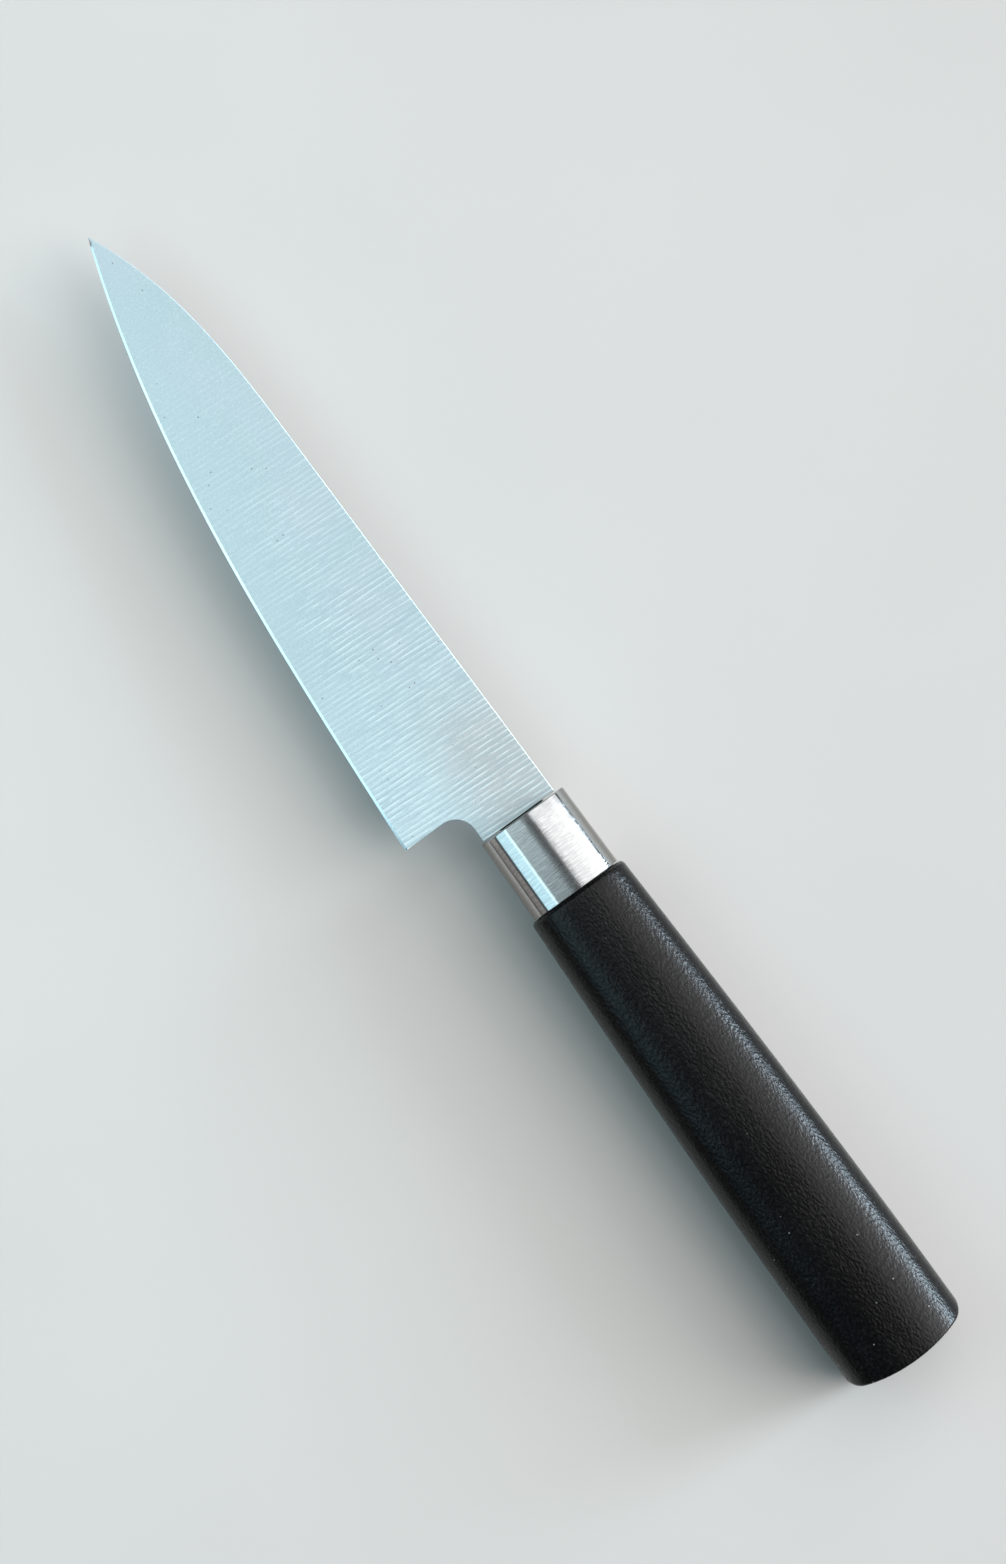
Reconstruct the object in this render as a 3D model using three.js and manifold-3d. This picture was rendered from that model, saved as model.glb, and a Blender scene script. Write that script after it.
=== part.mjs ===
// A petty knife: a thin ground blade with a hidden tang, a drawn steel ferrule, a moulded black handle
// and the resin that beds the tang in the handle.
// Millimetres. X runs from the tip to the butt, Y from the cutting edge to the spine, and Z out of the
// blade's side. While the pieces are drawn, the origin is the middle of the ferrule's front face, on the
// handle's axis.
import * as THREE from "three";
import { mergeVertices } from "three/addons/utils/BufferGeometryUtils.js";
import Module from "manifold-3d";

const wasm = await Module();
wasm.setup();

// Blade outline
const BLADE_LENGTH = 119; // heel to tip, along X
const HEEL_SETBACK = 6.9; // ferrule to heel
const HEEL_DROP = 20; // handle axis down to the heel's corner
const TIP_DROP = 2.1; // handle axis down to the tip
const EDGE_SLOPE_SHARE = 0.4; // share of the edge's rise that is a plain slope; the rest is the belly's curve
const BELLY_POWER = 3.3;
const SPINE_RISE = 7.15; // handle axis up to the spine at the ferrule
const SPINE_SLOPE = 0.0144; // fall of the spine per millimetre towards the tip
const POINT_LENGTH = 49; // stretch over which the spine sweeps down to the tip
const POINT_POWER = 3;
const NECK_DROP = 8; // handle axis down to the underside of the neck
const CHOIL_RADIUS = 4;

// Blade thickness
const SPINE_THICKNESS = 1.8; // at the ferrule, and all along the tang
const POINT_THICKNESS = 0.5;
const HEEL_THICKNESS = 0.34; // just above the edge bevel
const BEVEL_HEIGHT = 0.6;
const EDGE_LAND = 0.05; // width of the sharpened edge itself
const SPINE_EASE = 0.2; // chamfer that breaks the spine's corners
const GRIND_RUNOUT = 0.5; // inside the ferrule, where the ground sides give way to the tang

// Tang
const TANG_LENGTH = 80;
const TANG_HEIGHT = 9;
const TANG_END_HEIGHT = 6;
const TANG_HOLE_RADIUS = 1.6;
const TANG_HOLE_BACKSET = 12; // tang's end to the last keying hole
const TANG_HOLE_PITCH = 22;
const TANG_HOLE_COUNT = 2;

// Ferrule
const FERRULE_LENGTH = 16;
const FERRULE_FRONT_WIDTH = 17.4;
const FERRULE_FRONT_THICKNESS = 13.2;
const FERRULE_REAR_WIDTH = 17.8;
const FERRULE_REAR_THICKNESS = 13.6;
const FERRULE_WALL = 0.8;
const FERRULE_FACE = 1; // thickness of its front wall
const FERRULE_EDGE_RADIUS = 0.3;

// Handle
const HANDLE_LENGTH = 100;
const HANDLE_FRONT_WIDTH = 19.4;
const HANDLE_FRONT_THICKNESS = 15.2;
const HANDLE_BUTT_WIDTH = 23.7;
const HANDLE_BUTT_THICKNESS = 18.2;
const RIM_RADIUS = 0.9; // rounding of the handle's front rim
const BUTT_CORNER_RADIUS = 3; // rounding of the butt's two corners, seen from above
const BUTT_CROWN_RADIUS = 34; // arc of the butt's end between its corners

// Fits
const SEAM = 0.25; // open joint line before and behind the ferrule
const BOND_LINE = 0.1; // left between bonded faces
const SLOT_CLEARANCE = 0.3; // round the tang in the ferrule's slot
const BEDDING = 0.8; // thickness of the resin round the tang
const RESIN_BED = 1.6; // thickness of the resin between the ferrule's front wall and the handle's spigot

// Sections: an ellipse has power 2, and a higher power is squarer
const OVAL_POWER = 2.6; // ferrule and handle
const SLOT_POWER = 5; // ferrule's slot and handle's socket

// How finely curves are cut into flats
const AROUND_STEPS = 42; // twice an odd number, which leaves a flat on each side that the knife lies on
const ROUNDING_STEPS = 4;
const HANDLE_STEPS = 14;
const BLADE_STEPS = 44;
const ARC_STEPS = 10;

const CUT_MARGIN = 1; // how far a cut or an unground blank runs past the finished surface
const WELD_DISTANCE = 1e-5;

const heelX = -HEEL_SETBACK;
const tipX = heelX - BLADE_LENGTH;
const pointX = tipX + POINT_LENGTH;
const shoulderX = -SEAM;
const spigotX = FERRULE_FACE + RESIN_BED + 2 * BOND_LINE;
const handleX = FERRULE_LENGTH + SEAM;
const buttX = handleX + HANDLE_LENGTH;
const crownX = buttX - BUTT_CROWN_RADIUS;
const cornerY = HANDLE_BUTT_WIDTH / 2 - BUTT_CORNER_RADIUS;
const cornerX = crownX + Math.sqrt((BUTT_CROWN_RADIUS - BUTT_CORNER_RADIUS) ** 2 - cornerY ** 2);

const { lerp, clamp } = THREE.MathUtils;

// Closed skin over rings of points that follow each other along X. A ring of one point closes its end
// to a point, and any other end is closed flat.
function loft(rings) {
  const positions = [];
  const faces = [];
  const starts = [];
  for (const ring of rings) {
    starts.push(positions.length / 3);
    ring.forEach((p) => positions.push(p.x, p.y, p.z));
  }
  const vertex = (i, j) => starts[i] + (rings[i].length === 1 ? 0 : j % rings[i].length);
  for (let i = 0; i + 1 < rings.length; i += 1) {
    const count = Math.max(rings[i].length, rings[i + 1].length);
    for (let j = 0; j < count; j += 1) {
      if (rings[i].length > 1) faces.push(vertex(i, j), vertex(i, j + 1), vertex(i + 1, j + 1));
      if (rings[i + 1].length > 1) faces.push(vertex(i, j), vertex(i + 1, j + 1), vertex(i + 1, j));
    }
  }
  const closeEnd = (i, facesForward) => {
    const flat = rings[i].map((p) => new THREE.Vector2(p.y, p.z));
    for (const [a, b, c] of THREE.ShapeUtils.triangulateShape(flat, [])) {
      const turned = facesForward ? [a, b, c] : [c, b, a];
      faces.push(...turned.map((j) => vertex(i, j)));
    }
  };
  const last = rings.length - 1;
  if (rings[0].length > 1) closeEnd(0, false);
  if (rings[last].length > 1) closeEnd(last, true);
  const geometry = new THREE.BufferGeometry();
  geometry.setAttribute("position", new THREE.Float32BufferAttribute(positions, 3));
  geometry.setIndex(faces);
  return solid(geometry);
}

// Flat outline given a thickness, half of it on each side of the knife's middle plane
function plate(outline, thickness) {
  const geometry = new THREE.ExtrudeGeometry(outline, {
    depth: thickness,
    bevelEnabled: false,
    curveSegments: ARC_STEPS,
  });
  geometry.translate(0, 0, -thickness / 2);
  return solid(geometry);
}

function solid(geometry) {
  geometry.deleteAttribute("normal");
  geometry.deleteAttribute("uv");
  const welded = mergeVertices(geometry, WELD_DISTANCE);
  const mesh = new wasm.Mesh({
    numProp: 3,
    vertProperties: Float32Array.from(welded.attributes.position.array),
    triVerts: Uint32Array.from(welded.index.array),
  });
  return new wasm.Manifold(mesh);
}

function facetedGeometry(body) {
  const mesh = body.getMesh();
  const shared = new THREE.BufferGeometry();
  shared.setAttribute("position", new THREE.Float32BufferAttribute(mesh.vertProperties, 3));
  shared.setIndex(Array.from(mesh.triVerts));
  const geometry = shared.toNonIndexed();
  geometry.computeVertexNormals();
  return geometry;
}

// Oval ring across X with the half sizes given
function oval(x, halfWidth, halfThickness, power) {
  const along = (half, share) => half * Math.sign(share) * Math.pow(Math.abs(share), 2 / power);
  const ring = [];
  for (let i = 0; i < AROUND_STEPS; i += 1) {
    const angle = (2 * Math.PI * i) / AROUND_STEPS;
    ring.push(new THREE.Vector3(x, along(halfWidth, Math.cos(angle)), along(halfThickness, Math.sin(angle))));
  }
  return ring;
}

// Ring across X from the points of its upper side, which its lower side mirrors
function mirroredRing(x, upper) {
  const lower = upper.map(([y, z]) => [y, -z]).reverse();
  return [...upper, ...lower].map(([y, z]) => new THREE.Vector3(x, y, z));
}

// Blade and tang: a flat blank, ground on both sides to a plane that thins it towards the edge and the tip,
// then sharpened to a narrow bevel

function edgeY(x) {
  const along = (heelX - x) / BLADE_LENGTH;
  const belly = Math.pow(Math.max(along, 0), BELLY_POWER);
  return -HEEL_DROP + (HEEL_DROP - TIP_DROP) * lerp(belly, along, EDGE_SLOPE_SHARE);
}

function straightSpineY(x) {
  return SPINE_RISE + SPINE_SLOPE * x;
}

function spineY(x) {
  const along = Math.max((pointX - x) / POINT_LENGTH, 0);
  const fall = straightSpineY(tipX) + TIP_DROP;
  return straightSpineY(x) - fall * Math.pow(along, POINT_POWER);
}

function tangHalfHeight(x) {
  return lerp(TANG_HEIGHT, TANG_END_HEIGHT, clamp(x / TANG_LENGTH, 0, 1)) / 2;
}

// The tang's sides, round end and keying holes, from its upper root to its lower one.
// A margin widens the tang and narrows its holes.
function drawTang(outline, margin) {
  const endRadius = TANG_END_HEIGHT / 2;
  const roundX = TANG_LENGTH - endRadius;
  outline.lineTo(shoulderX, TANG_HEIGHT / 2 + margin);
  outline.lineTo(roundX, tangHalfHeight(roundX) + margin);
  outline.absarc(roundX, 0, endRadius + margin, Math.PI / 2, -Math.PI / 2, true);
  outline.lineTo(roundX, -tangHalfHeight(roundX) - margin);
  outline.lineTo(shoulderX, -TANG_HEIGHT / 2 - margin);
  for (let i = 0; i < TANG_HOLE_COUNT; i += 1) {
    const holeX = TANG_LENGTH - TANG_HOLE_BACKSET - i * TANG_HOLE_PITCH;
    const hole = new THREE.Path();
    hole.absarc(holeX, 0, TANG_HOLE_RADIUS - margin, 0, 2 * Math.PI, false);
    outline.holes.push(hole);
  }
}

function bladeBlank() {
  const lowY = -HEEL_DROP - CUT_MARGIN;
  const highY = SPINE_RISE + CUT_MARGIN;
  const outline = new THREE.Shape();
  outline.moveTo(heelX, lowY);
  outline.lineTo(tipX - CUT_MARGIN, lowY);
  outline.lineTo(tipX - CUT_MARGIN, highY);
  outline.lineTo(shoulderX, highY);
  drawTang(outline, 0);
  outline.lineTo(shoulderX, -NECK_DROP);
  outline.absarc(heelX + CHOIL_RADIUS, -NECK_DROP - CHOIL_RADIUS, CHOIL_RADIUS, Math.PI / 2, Math.PI, false);
  outline.closePath();
  return plate(outline, SPINE_THICKNESS + 2 * CUT_MARGIN);
}

function groundSides() {
  const side = new THREE.Plane().setFromCoplanarPoints(
    new THREE.Vector3(shoulderX, spineY(shoulderX), SPINE_THICKNESS / 2),
    new THREE.Vector3(tipX, -TIP_DROP, POINT_THICKNESS / 2),
    new THREE.Vector3(heelX, -HEEL_DROP + BEVEL_HEIGHT, HEEL_THICKNESS / 2),
  );
  const sideZ = (x, y) => -(side.constant + side.normal.x * x + side.normal.y * y) / side.normal.z;
  const groundRing = (x) => {
    const top = spineY(x);
    const bottom = edgeY(x);
    // Close to the tip, the bevel and the chamfer narrow with the blade
    const third = (top - bottom) / 3;
    const ease = Math.min(SPINE_EASE, third);
    const bevel = Math.min(BEVEL_HEIGHT, third);
    return mirroredRing(x, [
      [top, sideZ(x, top) - ease],
      [top - ease, sideZ(x, top - ease)],
      [bottom + bevel, sideZ(x, bottom + bevel)],
      [bottom, EDGE_LAND / 2],
    ]);
  };
  const tangRing = (x) => mirroredRing(x, [
    [SPINE_RISE, SPINE_THICKNESS / 2],
    [TANG_HEIGHT / 2, SPINE_THICKNESS / 2],
    [-TANG_HEIGHT / 2, SPINE_THICKNESS / 2],
    [-HEEL_DROP, SPINE_THICKNESS / 2],
  ]);

  const rings = [[new THREE.Vector3(tipX, -TIP_DROP, 0)]];
  for (let i = 1; i <= BLADE_STEPS; i += 1) {
    rings.push(groundRing(lerp(tipX, heelX, i / BLADE_STEPS)));
  }
  rings.push(groundRing(0));
  rings.push(tangRing(GRIND_RUNOUT));
  rings.push(tangRing(TANG_LENGTH + CUT_MARGIN));
  return loft(rings);
}

const blade = bladeBlank().intersect(groundSides());

// Ferrule: a cup drawn from sheet, slightly wider at the back, with a slot for the tang in its front wall

function ferruleRing(x, inset) {
  const along = x / FERRULE_LENGTH;
  const halfWidth = lerp(FERRULE_FRONT_WIDTH, FERRULE_REAR_WIDTH, along) / 2;
  const halfThickness = lerp(FERRULE_FRONT_THICKNESS, FERRULE_REAR_THICKNESS, along) / 2;
  return oval(x, halfWidth - inset, halfThickness - inset, OVAL_POWER);
}

function ferruleCup() {
  const rings = [];
  for (let i = 0; i <= ROUNDING_STEPS; i += 1) {
    const angle = (i / ROUNDING_STEPS) * (Math.PI / 2);
    const x = FERRULE_EDGE_RADIUS * (1 - Math.cos(angle));
    rings.push(ferruleRing(x, FERRULE_EDGE_RADIUS * (1 - Math.sin(angle))));
  }
  rings.push(ferruleRing(FERRULE_LENGTH, 0));

  const inside = loft([
    ferruleRing(FERRULE_FACE, FERRULE_WALL),
    ferruleRing(FERRULE_LENGTH + CUT_MARGIN, FERRULE_WALL),
  ]);
  const slotHalfHeight = TANG_HEIGHT / 2 + SLOT_CLEARANCE;
  const slotHalfWidth = SPINE_THICKNESS / 2 + SLOT_CLEARANCE;
  const slot = loft([
    oval(-CUT_MARGIN, slotHalfHeight, slotHalfWidth, SLOT_POWER),
    oval(FERRULE_FACE + CUT_MARGIN, slotHalfHeight, slotHalfWidth, SLOT_POWER),
  ]);
  return loft(rings).subtract(inside).subtract(slot);
}

const ferrule = ferruleCup();

// Handle: one moulding. Its spigot fills the ferrule and its rim stands a little proud of the ferrule.
// Towards the butt its width swells along a quarter of a sine wave and its thickness grows evenly. The butt
// ends in an upright wall, which is crowned between two rounded corners.

const ferruleBoreInset = FERRULE_WALL + BOND_LINE;

// The tang's place in the handle, wider than the tang by the margin
function tangSocket(fromX, margin) {
  const ring = (x) => oval(x, tangHalfHeight(x) + margin, SPINE_THICKNESS / 2 + margin, SLOT_POWER);
  return loft([ring(fromX), ring(TANG_LENGTH + margin)]);
}

// Outline that trims the butt to its corners and crown, and clears the rest of the handle
function buttOutline() {
  const startX = spigotX - CUT_MARGIN;
  const sideY = HANDLE_BUTT_WIDTH / 2 + CUT_MARGIN;
  const turn = Math.asin(cornerY / (BUTT_CROWN_RADIUS - BUTT_CORNER_RADIUS));
  const outline = new THREE.Shape();
  outline.moveTo(startX, -sideY);
  outline.lineTo(cornerX, -sideY);
  outline.absarc(cornerX, -cornerY, BUTT_CORNER_RADIUS, -Math.PI / 2, -turn, false);
  outline.absarc(crownX, 0, BUTT_CROWN_RADIUS, -turn, turn, false);
  outline.absarc(cornerX, cornerY, BUTT_CORNER_RADIUS, turn, Math.PI / 2, false);
  outline.lineTo(cornerX, sideY);
  outline.lineTo(startX, sideY);
  outline.closePath();
  return outline;
}

function handleMoulding() {
  const bodyRing = (x, inset) => {
    const along = clamp((x - handleX) / (cornerX - handleX), 0, 1);
    const swell = Math.sin((along * Math.PI) / 2);
    const halfWidth = lerp(HANDLE_FRONT_WIDTH, HANDLE_BUTT_WIDTH, swell) / 2;
    const halfThickness = lerp(HANDLE_FRONT_THICKNESS, HANDLE_BUTT_THICKNESS, along) / 2;
    return oval(x, halfWidth - inset, halfThickness - inset, OVAL_POWER);
  };

  const rings = [ferruleRing(spigotX, ferruleBoreInset), ferruleRing(handleX, ferruleBoreInset)];
  for (let i = 0; i <= ROUNDING_STEPS; i += 1) {
    const angle = (i / ROUNDING_STEPS) * (Math.PI / 2);
    const x = handleX + RIM_RADIUS * (1 - Math.cos(angle));
    rings.push(bodyRing(x, RIM_RADIUS * (1 - Math.sin(angle))));
  }
  for (let i = 1; i <= HANDLE_STEPS; i += 1) {
    rings.push(bodyRing(lerp(handleX + RIM_RADIUS, cornerX, i / HANDLE_STEPS), 0));
  }
  rings.push(bodyRing(buttX + CUT_MARGIN, 0));
  const trim = plate(buttOutline(), HANDLE_BUTT_THICKNESS + 2 * CUT_MARGIN);
  return loft(rings).intersect(trim).subtract(tangSocket(0, BEDDING));
}

const handle = handleMoulding();

// Resin bedding: lies behind the ferrule's front wall, fills the socket round the tang and keys through
// the tang's holes

function resinBedding() {
  const bed = loft([
    ferruleRing(FERRULE_FACE + BOND_LINE, ferruleBoreInset),
    ferruleRing(spigotX - BOND_LINE, ferruleBoreInset),
  ]);
  const sleeve = tangSocket(FERRULE_FACE + BOND_LINE + RESIN_BED / 2, BEDDING - BOND_LINE);
  const tangSpace = new THREE.Shape();
  tangSpace.moveTo(shoulderX, -TANG_HEIGHT / 2 - BOND_LINE);
  drawTang(tangSpace, BOND_LINE);
  return bed.add(sleeve).subtract(plate(tangSpace, SPINE_THICKNESS + 2 * BOND_LINE));
}

const bedding = resinBedding();

// Pieces, moved together so that the knife lies on its side on the ground, centred on the origin

const knife = new THREE.Group();
knife.name = "petty_knife";

function addPiece(name, body, color, roughness, metalness) {
  const material = new THREE.MeshStandardMaterial({ color, roughness, metalness });
  const mesh = new THREE.Mesh(facetedGeometry(body), material);
  mesh.name = name;
  knife.add(mesh);
}

addPiece("blade", blade, 0xbdd7e0, 0.35, 1);
addPiece("ferrule", ferrule, 0xc4ccd0, 0.22, 1);
addPiece("handle", handle, 0x161617, 0.5, 0);
addPiece("tang_bedding", bedding, 0xa08a5c, 0.55, 0);

const box = new THREE.Box3().setFromObject(knife);
const middle = box.getCenter(new THREE.Vector3());
knife.position.set(-middle.x, -middle.y, -box.min.z);

export default knife;
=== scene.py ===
import math

import bmesh
import bpy
from mathutils import Matrix, Vector


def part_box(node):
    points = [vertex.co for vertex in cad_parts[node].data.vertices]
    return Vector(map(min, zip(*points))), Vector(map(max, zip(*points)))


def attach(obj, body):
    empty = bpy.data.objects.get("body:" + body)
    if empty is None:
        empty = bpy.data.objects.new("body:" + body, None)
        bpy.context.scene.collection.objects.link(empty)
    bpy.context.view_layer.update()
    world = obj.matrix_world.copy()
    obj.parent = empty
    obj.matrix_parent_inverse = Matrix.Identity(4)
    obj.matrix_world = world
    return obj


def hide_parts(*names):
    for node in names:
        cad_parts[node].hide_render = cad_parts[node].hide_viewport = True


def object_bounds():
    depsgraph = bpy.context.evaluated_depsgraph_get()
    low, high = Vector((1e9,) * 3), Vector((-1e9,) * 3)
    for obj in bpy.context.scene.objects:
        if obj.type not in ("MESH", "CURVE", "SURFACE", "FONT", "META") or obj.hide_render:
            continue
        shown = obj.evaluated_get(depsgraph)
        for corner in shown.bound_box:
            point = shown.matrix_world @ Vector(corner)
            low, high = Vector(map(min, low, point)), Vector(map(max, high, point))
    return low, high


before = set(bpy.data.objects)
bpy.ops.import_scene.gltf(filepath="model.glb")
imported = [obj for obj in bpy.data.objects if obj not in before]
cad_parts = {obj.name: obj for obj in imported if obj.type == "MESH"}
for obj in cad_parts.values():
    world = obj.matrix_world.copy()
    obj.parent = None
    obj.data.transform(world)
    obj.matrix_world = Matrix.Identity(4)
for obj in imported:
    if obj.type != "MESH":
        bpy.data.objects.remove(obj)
cad_low, cad_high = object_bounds()


# Blade: one length of stainless steel, cut to outline together with its stick tang, ground flat on both
# sides and brushed from edge to spine. A narrow bevel is sharpened along the edge, and the spine, the neck
# and the notch at the heel are eased. The tang is bedded in the handle and keyed by two drilled holes.
MM = 0.001
QUARTER_TURN = math.pi / 2
FULL_TURN = 2 * math.pi

ferrule_low, ferrule_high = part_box("ferrule")
# The handle's axis meets the ferrule's front face here. All the pieces are drawn from this point.
AXIS_POINT = Vector((
    ferrule_low.x,
    (ferrule_low.y + ferrule_high.y) / 2,
    (ferrule_low.z + ferrule_high.z) / 2,
))
blade_low, blade_high = (corner - AXIS_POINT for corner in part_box("blade"))

SEAM = 0.25 * MM  # open joint line before and behind the ferrule
HEEL_SETBACK = 6.9 * MM  # ferrule to heel
TIP_DROP = 2.1 * MM  # handle axis down to the tip
EDGE_SLOPE_SHARE = 0.4  # share of the edge's rise that is a plain slope; the rest is the belly's curve
BELLY_POWER = 3.3
SPINE_SLOPE = 0.0144
POINT_LENGTH = 49 * MM  # stretch over which the spine sweeps down to the tip
POINT_POWER = 3
NECK_DROP = 8 * MM
CHOIL_RADIUS = 4 * MM
POINT_HALF_THICKNESS = 0.18 * MM
HEEL_HALF_THICKNESS = 0.24 * MM
BEVEL_HEIGHT = 0.44 * MM
TIP_BEVEL_HEIGHT = 0.34 * MM
BEVEL_GROWTH = 0.002  # from the tip, until the bevel has its full height
TIP_BEVEL_SHARE = 0.45  # most of the blade's height that the bevel may take, right at the tip
EDGE_HALF_LAND = 0.02 * MM
SPINE_EASE = 0.1 * MM
EASE_SHARE = 0.6  # most of the half thickness that the easing may take
TIP_EASE_SHARE = 1 / 3  # most of the blade's height that the easing may take, right at the tip
LEAST_EASE = 0.01 * MM
GRIND_RUNOUT = 0.5 * MM  # inside the ferrule, where the ground sides give way to the tang
TIP_RUN = 0.2 * MM  # tip back to the point where the ground sides begin
TANG_HALF_HEIGHT = 4.5 * MM
TANG_END_RADIUS = 3 * MM
TANG_HOLE_RADIUS = 1.6 * MM
TANG_HOLE_BACKSETS = (12 * MM, 34 * MM)

TIP_X = blade_low.x
TIP_Y = -TIP_DROP
HEEL_X = -HEEL_SETBACK
HEEL_Y = blade_low.y
SHOULDER_X = -SEAM
SHOULDER_Y = blade_high.y
NECK_Y = -NECK_DROP
TANG_END_X = blade_high.x
HALF_SPINE = blade_high.z

SPINE_STATIONS = 120
EDGE_STATIONS = 140
ARC_STATIONS = 24
WALL_STATIONS = 8
HOLE_SIDES = 32
EASING_SHARES = (0, 0.25, 0.5, 0.75, 1)  # loops of the skin, from the ground side out to the rim


def between(start, end, count):
    return [start + (end - start) * step / count for step in range(count + 1)]


def edge_y(x):
    along = (HEEL_X - x) / (HEEL_X - TIP_X)
    rise = EDGE_SLOPE_SHARE * along + (1 - EDGE_SLOPE_SHARE) * max(along, 0) ** BELLY_POWER
    return HEEL_Y + (TIP_Y - HEEL_Y) * rise


def straight_spine_y(x):
    return SHOULDER_Y + SPINE_SLOPE * (x - SHOULDER_X)


def spine_y(x):
    along = max((TIP_X + POINT_LENGTH - x) / POINT_LENGTH, 0)
    return straight_spine_y(x) - (straight_spine_y(TIP_X) - TIP_Y) * along ** POINT_POWER


def blade_height(x):
    return spine_y(x) - edge_y(x)


spine_corner = Vector((SHOULDER_X, SHOULDER_Y, HALF_SPINE))
point_corner = Vector((TIP_X, TIP_Y, POINT_HALF_THICKNESS))
heel_corner = Vector((HEEL_X, HEEL_Y + BEVEL_HEIGHT, HEEL_HALF_THICKNESS))
ground_normal = (point_corner - spine_corner).cross(heel_corner - spine_corner)


def ground_z(x, y):
    """Half thickness of the blade, which thins evenly towards the edge and the tip."""
    slope_x = ground_normal.x / ground_normal.z
    slope_y = ground_normal.y / ground_normal.z
    return HALF_SPINE - slope_x * (x - SHOULDER_X) - slope_y * (y - SHOULDER_Y)


def eased(rim_x, rim_y, inward_x, inward_y, limit=SPINE_EASE):
    """Station of a rounded rim: the rim's point, the ground side's point and the kind of skin between."""
    ease = min(SPINE_EASE, limit, EASE_SHARE * ground_z(rim_x, rim_y))
    side_x = rim_x + inward_x * ease
    side_y = rim_y + inward_y * ease
    side_z = ground_z(side_x, side_y)
    return (rim_x, rim_y, side_z - ease), (side_x, side_y, side_z), "round"


def sharpened(x, side_x, bevel):
    """Station of the cutting edge, with a flat bevel."""
    side_y = edge_y(x) + bevel
    return (x, edge_y(x), EDGE_HALF_LAND), (side_x, side_y, ground_z(side_x, side_y)), "bevel"


def square(x, y, z):
    """Station of a square corner, where the rim and the side meet in one point."""
    return (x, y, z), (x, y, z), "square"


def blade_stations():
    """Stations round the blade and tang, from the tip along the spine, the tang, the heel and the edge."""
    tip_side_x = TIP_X + TIP_RUN
    tip_side_y = (spine_y(tip_side_x) + edge_y(tip_side_x)) / 2
    tip_side = (tip_side_x, tip_side_y, ground_z(tip_side_x, tip_side_y))
    stations = [((TIP_X, TIP_Y, EDGE_HALF_LAND), tip_side, "bevel")]
    for x in between(tip_side_x, SHOULDER_X, SPINE_STATIONS):
        stations.append(eased(x, spine_y(x), 0, -1, TIP_EASE_SHARE * blade_height(x)))
    root = len(stations)
    stations.append(square(SHOULDER_X, TANG_HALF_HEIGHT, ground_z(SHOULDER_X, TANG_HALF_HEIGHT)))
    stations.append(square(GRIND_RUNOUT, TANG_HALF_HEIGHT, HALF_SPINE))
    for angle in between(QUARTER_TURN, -QUARTER_TURN, ARC_STATIONS):
        x = TANG_END_X - TANG_END_RADIUS + TANG_END_RADIUS * math.cos(angle)
        stations.append(square(x, TANG_END_RADIUS * math.sin(angle), HALF_SPINE))
    stations.append(square(GRIND_RUNOUT, -TANG_HALF_HEIGHT, HALF_SPINE))
    stations.append(square(SHOULDER_X, -TANG_HALF_HEIGHT, ground_z(SHOULDER_X, -TANG_HALF_HEIGHT)))
    root_end = len(stations)
    stations.append(eased(SHOULDER_X, NECK_Y, 0, 1))
    for angle in between(QUARTER_TURN, 2 * QUARTER_TURN, ARC_STATIONS):
        out_x, out_y = math.cos(angle), math.sin(angle)
        arc_x = HEEL_X + CHOIL_RADIUS + CHOIL_RADIUS * out_x
        stations.append(eased(arc_x, NECK_Y - CHOIL_RADIUS + CHOIL_RADIUS * out_y, out_x, out_y))
    bevel_top = HEEL_Y + BEVEL_HEIGHT
    for y in between(NECK_Y - CHOIL_RADIUS, bevel_top, WALL_STATIONS)[1:]:
        stations.append(eased(HEEL_X, y, -1, 0, y - bevel_top + LEAST_EASE))
    _, heel_side, _ = stations[-1]
    for x in between(HEEL_X, tip_side_x, EDGE_STATIONS):
        growing = TIP_BEVEL_HEIGHT + BEVEL_GROWTH * (x - TIP_X)
        bevel = min(BEVEL_HEIGHT, growing, TIP_BEVEL_SHARE * blade_height(x))
        stations.append(sharpened(x, min(x, heel_side[0]), bevel))
    return stations, root, root_end


def skin_loops(stations, upper):
    """Points of the skin on one side of the blade, loop by loop from the ground side out to the rim."""
    loops = []
    for share in EASING_SHARES:
        turn = share * QUARTER_TURN
        loop = []
        for rim, side, kind in stations:
            outward = math.sin(turn) if kind == "round" else share
            upward = math.cos(turn) if kind == "round" else 1 - share
            x = side[0] + (rim[0] - side[0]) * outward
            y = side[1] + (rim[1] - side[1]) * outward
            z = rim[2] + (side[2] - rim[2]) * upward
            loop.append(AXIS_POINT + Vector((x, y, z if upper else -z)))
        loops.append(loop)
    return loops


def fill_flat(skin, loops, normal):
    """Flat face inside closed loops of vertices; the first loop is its outline and the others are holes."""
    edges = []
    for loop in loops:
        for start, end in zip(loop, loop[1:] + loop[:1]):
            edges.append(skin.edges.get((start, end)) or skin.edges.new((start, end)))
    filled = bmesh.ops.triangle_fill(skin, use_beauty=True, use_dissolve=False, edges=edges, normal=normal)
    for item in filled["geom"]:
        if isinstance(item, bmesh.types.BMFace):
            item.smooth = False


def hole_ring(skin, backset, upper):
    ring = []
    for step in range(HOLE_SIDES):
        angle = FULL_TURN * step / HOLE_SIDES
        x = TANG_END_X - backset + TANG_HOLE_RADIUS * math.cos(angle)
        y = TANG_HOLE_RADIUS * math.sin(angle)
        ring.append(skin.verts.new(AXIS_POINT + Vector((x, y, HALF_SPINE if upper else -HALF_SPINE))))
    return ring


def bridge(skin, first, second):
    faces = []
    for step in range(len(first)):
        after = (step + 1) % len(first)
        faces.append(skin.faces.new((first[step], first[after], second[after], second[step])))
        faces[-1].smooth = True
    return faces


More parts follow.
